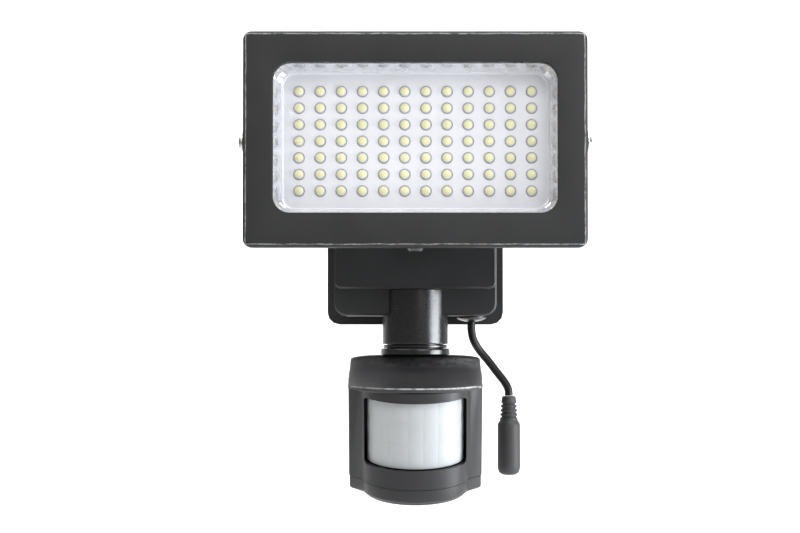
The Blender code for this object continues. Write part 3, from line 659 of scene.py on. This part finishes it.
def add_connector():
    low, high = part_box("lead_connector")
    radius = (high[0] - low[0]) / 2
    length = high[2] - low[2]
    neck_end, shoulder = 0.0130, 0.0150
    corners = [
        (LEAD_RADIUS + 0.0004, -0.0030, 0.0),
        (LEAD_RADIUS + 0.0009, 0.0, 0.0003),
        (0.0037, 0.0, 0.0005),
        (0.0041, -0.0030, 0.0004),
    ]
    for groove in range(4):
        top = -0.0036 - 0.0023 * groove
        width = 0.0042 + 0.00018 * groove
        corners += [
            (width, top, 0.0002),
            (width - 0.0007, top - 0.0003, 0.0002),
            (width - 0.0007, top - 0.0010, 0.0002),
            (width + 0.0001, top - 0.0013, 0.0002),
        ]
    corners += [
        (0.0047, -neck_end, 0.0008),
        (radius - 0.0001, -shoulder, 0.0007),
        (radius, -length + 0.0037, 0.0012),
        (radius - 0.0008, -length + 0.0012, 0.0008),
        (radius - 0.0026, -length, 0.0009),
        (0.0030, -length, 0.0002),
        (0.0028, -length + 0.0005, 0.0002),
        (0.0028, -length + 0.0095, 0.0),
    ]
    place_of = ((low[0] + high[0]) / 2, (low[1] + high[1]) / 2, high[2])
    mesh = turned(rounded_profile(corners, 4), 64)
    return add("connector", mesh, FINISH["connector"], "wall_unit", ["lead_connector"], place_of)


# Lamp head, drawn about its tilt axis


def framed(width, height, radius, steps=12):
    """An outline round the window's middle."""
    return shifted(rounded_rectangle(width, height, radius, steps), 0.0, WINDOW_LIFT)


def in_world(outline):
    """Moves an outline drawn about the tilt axis to its height in the world."""
    return shifted(outline, HEAD_PIVOT.x, HEAD_PIVOT.z)


def add_bezel():
    """The front frame, rounded outside and inside, with a pocket behind it for the glass."""
    edge, lip, back_edge, corner = 0.0019, 0.0003, 0.0005, 0.0042
    back, seat = BEZEL_HIGH[1], HEAD_FRONT + 0.0026
    width, height, radius = WINDOW

    def outer(inset, corner_radius):
        outline = rounded_rectangle(HEAD_WIDTH - 2 * inset, HEAD_HEIGHT - 2 * inset, corner_radius)
        return in_world(outline)

    sections = []
    for first, second in arc(1, 90, 0, 8):
        inset = edge * (1 - first)
        sections.append((outer(inset, corner - 0.6 * inset), HEAD_FRONT + edge * (1 - second)))
    sections.append((outer(0.0, corner), back - back_edge))
    sections.append((outer(back_edge, corner - 0.0004), back))
    pocket = in_world(framed(0.1480, 0.0840, 0.0100))
    sections += [(pocket, back), (pocket, seat), (in_world(framed(width, height, radius)), seat)]
    for first, second in arc(1, 0, 90, 4):
        grow = lip * (1 - first)
        outline = framed(width + 2 * grow, height + 2 * grow, radius + grow)
        sections.append((in_world(outline), HEAD_FRONT + lip * (1 - second)))
    mesh = extruded(sections, loop=True)
    add("bezel", mesh, FINISH["bezel"], "lamp_head", ["front_bezel"])


def led_places():
    for row in range(LED_ROWS):
        up = WINDOW_LIFT + LED_PITCH[1] * (row - (LED_ROWS - 1) / 2)
        for column in range(LED_COLUMNS):
            yield LED_PITCH[0] * (column - (LED_COLUMNS - 1) / 2), up


def at_every_led(profile, sides):
    """One turned shape at every LED."""
    mesh = bmesh.new()
    for centre in led_places():
        turned(profile, sides, "Y", centre=centre, mesh=mesh)
    return mesh


def add_tray():
    """A dish with sloped walls, a rounded foot and a hole for every LED."""
    wall, steps, fillet = 0.0012, 5, 0.0011
    rim_back = TRAY_FLANGE + wall + 0.0002
    sections = [
        (framed(0.1314, 0.0684, 0.0070), TRAY_FLOOR + wall),
        (framed(0.1396, 0.0758, 0.0090), rim_back),
        (framed(0.1450, 0.0810, 0.0100), rim_back),
        (framed(0.1450, 0.0810, 0.0100), TRAY_FLANGE),
        (framed(0.1370, 0.0730, 0.0085), TRAY_FLANGE),
    ]
    floor_width, floor_height, floor_corner = 0.12834, 0.06534, 0.0060
    for step in range(steps + 1):
        angle = math.radians(90 * step / steps)
        grow = fillet * (1 - math.sin(angle))
        outline = framed(floor_width + 2 * grow, floor_height + 2 * grow, floor_corner + grow)
        sections.append((outline, TRAY_FLOOR - fillet * math.cos(angle)))
    tray = add("tray", extruded(sections), FINISH["tray"], "lamp_head", ["reflector_tray"],
               HEAD_PIVOT, sharp=50)
    hole = ((LED_HOLE_RADIUS, -0.0010), (LED_HOLE_RADIUS, 0.0030))
    cut(tray, at_every_led(hole, 28), sharp=50)
    bevel(tray, 0.0002, 2, 50)


def add_leds():
    """Board, clear bodies and the yellow phosphor in the middle of each."""
    outline = framed(0.1300, 0.0670, 0.0020, 3)
    plate = extruded(((outline, LED_BOARD_FRONT), (outline, LED_BOARD_FRONT + 0.0016)))
    add("led_plate", plate, FINISH["board"], "lamp_head", ["led_board"], HEAD_PIVOT)
    rim, tip, dome_radius = -0.0003, -0.0014, 0.0022
    collar = LED_RADIUS + 0.00022
    foot = LED_BOARD_FRONT - 0.0003
    body = (
        (0.0012, foot),
        (LED_RADIUS, foot),
        (LED_RADIUS, 0.0014),
        (collar, 0.0012),
        (collar, rim + 0.0003),
        (collar - 0.0002, rim),
        (dome_radius - 0.0002, rim),
    )
    add("led_bodies", at_every_led(body, 20), FINISH["led"], "lamp_head", (), HEAD_PIVOT)
    dome = [(dome_radius, rim + 0.0002)]
    dome += [(dome_radius * first, rim + (tip - rim) * second) for first, second in arc(1, 5, 85, 6)]
    mesh = at_every_led(dome, 18)
    add("led_domes", mesh, FINISH["phosphor"], "lamp_head", (), HEAD_PIVOT)


def add_pan_head(name, screw_node, side):
    """Pan head on the X axis, with a crossed recess, on the CAD screw's own place."""
    low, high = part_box(screw_node)
    centre = Vector((0.0, (low[1] + high[1]) / 2, (low[2] + high[2]) / 2))
    radius, thickness = (high[2] - low[2]) / 2, 0.0023
    outer = max(abs(low[0]), abs(high[0]))
    inner = min(abs(low[0]), abs(high[0]))
    seat = outer - thickness
    corners = (
        (0.0012, inner, 0.0),
        (0.0020, inner + 0.0004, 0.0002),
        (0.0020, seat, 0.0),
        (radius, seat, 0.0002),
        (radius, seat + 0.0007, 0.0004),
        (0.74 * radius, outer - 0.0003, 0.0009),
        (0.0004, outer, 0.0),
    )
    profile = [(wide, side * along) for wide, along in rounded_profile(corners)]
    mesh = turned(profile, 48, "X")
    screw = add(name, mesh, FINISH["zinc"], "lamp_head", [screw_node], centre)
    long, slim = 0.0020, 0.00042
    start, end = sorted((side * (seat + 0.0010), side * (seat + 0.0060)))
    for deep, tall in ((long, slim), (slim, long)):
        cut(screw, box((start, -deep, -tall), (end, deep, tall)))
    bevel(screw, 0.00012, 2)


def add_head():
    add_bezel()
    add_tray()
    add_leds()
    for name, side in (("left", -1), ("right", 1)):
        add_pan_head(f"side_screw_{name}", f"pivot_screw_{name}", side)


# Neck and collar


def add_neck():
    """The neck with its spigot, and the locking ring round it."""
    low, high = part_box("sensor_neck")
    ring_low, ring_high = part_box("neck_ring")
    radius, top = (high[0] - low[0]) / 2 + 0.0002, high[2] + 0.0002
    ceiling = top - 0.0027
    step_down = ring_high[2] + 0.0003
    corners = (
        (0.0100, top, 0.0),
        (radius, top, 0.0004),
        (radius, step_down + 0.0012, 0.0),
        (radius, step_down, 0.0006),
        (SPIGOT_RADIUS, step_down, 0.0),
        (SPIGOT_RADIUS, low[2], 0.0004),
        (NECK_BORE, low[2], 0.0004),
        (NECK_BORE, ceiling, 0.0),
        (0.0090, ceiling, 0.0),
    )
    axis = (0.0, NECK_Y, 0.0)
    mesh = turned(rounded_profile(corners), 96)
    add("neck", mesh, FINISH["neck"], "wall_unit", ["sensor_neck"], axis)
    radius, bore, edge = (ring_high[0] - ring_low[0]) / 2, SPIGOT_RADIUS + 0.0003, 0.0004
    ring = (
        (bore, ring_high[2]),
        (radius - edge, ring_high[2]),
        (radius, ring_high[2] - edge),
        (radius, ring_low[2] + edge),
        (radius - edge, ring_low[2]),
        (bore, ring_low[2]),
    )
    mesh = turned(ring, 96, loop=True)
    add("locking_ring", mesh, FINISH["neck"], "wall_unit", ["neck_ring"], axis)


def add_collar():
    """Two halves that meet in a seam at the front."""
    half_seam, bore, rounding, chamfer, steps = 0.00012, SPIGOT_RADIUS + 0.0004, 0.0009, 0.0003, 48
    for name, side in (("left", -1), ("right", 1)):
        low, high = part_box(f"collar_{name}")
        radius, top, bottom = (high[1] - low[1]) / 2, high[2] + 0.0001, low[2] - 0.0001
        section = [(bore, top)]
        section += arc(rounding, 90, 0, 5, (radius - rounding, top - rounding))
        section += [(radius, bottom + chamfer), (radius - chamfer, bottom), (bore, bottom)]
        rings = []
        for step in range(steps + 1):
            angle = math.pi * (step / steps - 0.5)
            rings.append([
                Vector((side * (wide * math.cos(angle) + half_seam), wide * math.sin(angle), up))
                for wide, up in section
            ])
        add(f"collar_half_{name}", loft(rings), FINISH["neck"], "sensor_swivel", [f"collar_{name}"],
            (0.0, NECK_Y, 0.0))


# Sensor head. The lid is level with the world, and the rest leans forward about the hinge


def lid_height(back):
    """Height of the lid's top surface at a distance behind the hinge."""
    flat_end, top, nose = -0.0180, 0.0061, -0.0100
    if back > flat_end:
        return top
    share = (back - flat_end) / (LID_NOSE - flat_end)
    return top + (nose - top) * math.sin(share * math.pi / 2)


def lid_outline(inset=0.0):
    """Plan of the lid, with round rear corners and an arched nose, as (across, back)."""
    rear, shoulder, corner, half = LID_REAR, LID_SHOULDER, LID_CORNER, LID_HALF_WIDTH
    right = arc(corner - inset, 90, 0, 8, (half - corner, rear - corner))
    side_steps, bend_steps, nose_steps = 16, 6, 24
    for step in range(1, side_steps):
        right.append((half - inset, rear - corner + (shoulder - rear + corner) * step / side_steps))
    depth = shoulder - LID_NOSE
    radius = (half**2 + depth**2) / (2 * depth)
    widest = math.asin((half - 0.0035) / radius)
    centre = (0.0, LID_NOSE + radius)
    nose = arc(radius - inset, math.degrees(widest) - 90, -90, nose_steps, centre)
    start, end = (half - inset, shoulder), nose[0]
    middle = (half - inset, end[1] + 0.35 * (start[1] - end[1]))
    for step in range(1, bend_steps):
        t = step / bend_steps
        across, back = (
            first * (1 - t) ** 2 + 2 * t * (1 - t) * bend + last * t**2
            for first, bend, last in zip(start, middle, end)
        )
        right.append((across, back))
    right += nose
    left = [(-across, back) for across, back in reversed(right[:-1])]
    return right + left


def add_lid():
    """A dished plate: rings of the plan shrink towards its middle line, on the curved top."""
    edge, edge_steps, lower_edge = 0.0010, 5, 0.0005

    def ring(inset, drop, squeeze=1.0, crowned=True):
        points = []
        for across, back in lid_outline(inset):
            across *= squeeze
            crown = LID_CROWN * abs(across / LID_HALF_WIDTH) ** 6 if crowned else 0.0
            points.append(Vector((across, back, lid_height(back) - drop - crown)))
        return points

    rings = [ring(0.0, LID_THICKNESS, share, False) for share in (0.04, 0.3, 0.6, 0.85)]
    rings.append(ring(lower_edge, LID_THICKNESS, 1.0, False))
    rings.append(ring(0.0, LID_THICKNESS - lower_edge, 1.0, False))
    for step in range(edge_steps + 1):
        angle = math.radians(90 * step / edge_steps)
        rings.append(ring(edge * (1 - math.cos(angle)), edge * (1 - math.sin(angle))))
    rings += [ring(edge, 0.0, share) for share in (0.93, 0.8, 0.6, 0.4, 0.2, 0.04)]
    mesh = bmesh.new()
    rows = [[mesh.verts.new(point) for point in points] for points in rings]
    count = len(rows[0])
    for first, second in zip(rows, rows[1:]):
        for index in range(count):
            after = (index + 1) % count
            mesh.faces.new((first[index], first[after], second[after], second[index]))
    for row in (rows[0], rows[-1]):
        for index in range(count // 2):
            strip = (row[index], row[index + 1], row[count - 2 - index], row[count - 1 - index])
            corners = list(dict.fromkeys(strip))
            if len(corners) > 2:
                mesh.faces.new(corners)
    add("lid", mesh, FINISH["lid"], "sensor_head", ["sensor_lid"], SENSOR_HINGE, sharp=60)


def sensor_outline(inset=0.0, steps=28):
    """Plan of the sensor body: flat rear, straight sides, slanted pillars, round front."""
    radius = SENSOR_RADIUS - inset
    rear, side = SENSOR_REAR - inset, SENSOR_HALF_WIDTH - inset
    corner = SENSOR_CORNER - inset
    front = SENSOR_CENTRE + 0.4 * inset
    right = arc(corner, 90, 0, 8, (side - corner, rear - corner))
    right += [(side, front + 0.0010), (side - 0.0003, front + 0.0002), (side - 0.0009, front - 0.0006)]
    right += arc(radius, -15, -90, steps, (0.0, SENSOR_CENTRE))
    left = [(-across, back) for across, back in reversed(right[:-1])]
    return right + left


def above_lid():
    """Everything above the lid's underside, for cutting the leaning body to fit."""
    turn = Matrix.Rotation(-SENSOR_LEAN, 3, "X")
    start, reach, steps = 0.0100, 0.0900, 40
    side, top, gap = 0.0500, 0.0300, 0.0003
    rings = []
    for step in range(steps + 1):
        back = start - reach * step / steps
        low = lid_height(max(back, LID_NOSE)) - LID_THICKNESS - gap
        corners = ((-side, low), (side, low), (side, top), (-side, top))
        rings.append([turn @ Vector((across, back, up)) for across, up in corners])
    return loft(rings)


def add_sensor_body():
    """An open shell, cut to the lid's underside, with the lens window in its front."""
    top, window_corner = 0.0120, 0.0020
    in_front, behind_lens = -0.0800, -0.0420
    sections = (
        (sensor_outline(), SENSOR_SEAM),
        (sensor_outline(), top),
        (sensor_outline(SENSOR_WALL), top),
        (sensor_outline(SENSOR_WALL), SENSOR_SEAM),
    )
    shell = extruded(sections, "Z", loop=True)
    body = add("sensor_case", shell, FINISH["sensor"], "sensor_head", ["sensor_body"],
               SENSOR_HINGE, SENSOR_LEAN)
    cut(body, above_lid())
    window = rounded_rectangle(2 * LENS_HALF_WIDTH, LENS_TOP - LENS_BOTTOM, window_corner, 5)
    window = shifted(window, 0.0, (LENS_TOP + LENS_BOTTOM) / 2)
    cut(body, extruded(((window, in_front), (window, behind_lens))))
    bevel(body, 0.0005, 3)


def add_lens():
    """A curved milky sheet, dished between the ribs of its segments."""
    span, thickness, dish = 80, 0.0012, 0.00022
    columns, rows_of_segments = 9, 3
    across_steps, up_steps = 168, 64
    top, bottom = LENS_TOP + 0.0015, LENS_BOTTOM + 0.0005

    def ripple(share, count):
        return abs(math.sin(math.pi * share * count)) ** 0.5

    rings = []
    for step in range(across_steps + 1):
        share = step / across_steps
        angle = math.radians(span * (2 * share - 1))
        front, rear = [], []
        for level in range(up_steps + 1):
            height = level / up_steps
            up = top + (bottom - top) * height
            swell = ripple(share, columns) * ripple(height, rows_of_segments)
            for side, out in ((front, LENS_RADIUS - dish * (1 - swell)), (rear, LENS_RADIUS - thickness)):
                side.append(Vector((out * math.sin(angle), SENSOR_CENTRE - out * math.cos(angle), up)))
        rings.append(front + rear[::-1])
    add("lens", loft(rings), FINISH["lens"], "sensor_head", ["fresnel_lens"], SENSOR_HINGE,
        SENSOR_LEAN, 60)


def add_base_cap():
    """The sensor's foot: a rim under the pillars, a rounded disc and two wells for the dials."""
    gap, ledge, rounding = 0.0003, 0.0003, 0.0016
    ceiling, top, curve_start = SENSOR_BOTTOM + 0.0046, SENSOR_SEAM - gap, PILLAR_BOTTOM + rounding
    rim = [(SENSOR_WALL, ceiling), (SENSOR_WALL, top), (ledge, top), (ledge, curve_start)]
    for first, second in arc(rounding, 20, 90, 4):
        rim.append((ledge + rounding - first, curve_start - second))
    sections = [(sensor_outline(inset), up) for inset, up in rim]
    base = add("base_cap", extruded(sections, "Z"), FINISH["sensor"], "sensor_head", ["sensor_base_cap"],
               SENSOR_HINGE, SENSOR_LEAN)
    disc_radius, fall = SENSOR_RADIUS - 0.0012, 0.0032
    height = PILLAR_BOTTOM + 0.0010 - SENSOR_BOTTOM
    disc = []
    for first, second in arc(1.0, 0, 90, 6):
        outline = shifted(circle(disc_radius - fall * (1 - first), 96), 0.0, SENSOR_CENTRE)
        outline = [(across, min(back, DISC_REAR)) for across, back in outline]
        disc.append((outline, SENSOR_BOTTOM + height * (1 - second)))
    cut(base, extruded(disc, "Z"), "UNION")
    floor = SENSOR_BOTTOM + DIAL_WELL
    wells = bmesh.new()
    for side in (-1, 1):
        well = ((DIAL_RADIUS + 0.0004, floor), (DIAL_RADIUS + 0.0004, SENSOR_BOTTOM - 0.0100))
        turned(well, 48, centre=(side * DIAL_SPREAD, SENSOR_CENTRE), mesh=wells)
    cut(base, wells)
    bevel(base, 0.0003, 2)
    for name, side in (("time", -1), ("light", 1)):
        add_dial(name, side * DIAL_SPREAD, floor - gap)


def add_dial(name, across, top):
    """A knob with a screwdriver slot, which turns in its well."""
    tip = top - 0.0027
    knob = rounded_profile((
        (0.0010, top, 0.0),
        (DIAL_RADIUS, top, 0.0),
        (DIAL_RADIUS, tip, 0.0007),
        (0.0010, tip, 0.0),
    ))
    mesh = turned(knob, 48, centre=(across, SENSOR_CENTRE))
    dial = add(f"dial_{name}", mesh, FINISH["dial"], f"{name}_dial", [f"{name}_dial"],
               SENSOR_HINGE, SENSOR_LEAN)
    half_slot, half_length, slot_depth = 0.0006, 0.0040, 0.0010
    low = (across - half_slot, SENSOR_CENTRE - half_length, tip - 0.0030)
    high = (across + half_slot, SENSOR_CENTRE + half_length, tip + slot_depth)
    cut(dial, box(low, high))
    bevel(dial, 0.0002, 2)


def add_sensor():
    add_lid()
    add_sensor_body()
    add_lens()
    add_base_cap()


add_camera()
add_lead()
add_stage()
add_world()
add_lights()
dress_cad_nodes()
add_head()
add_neck()
add_collar()
add_sensor()
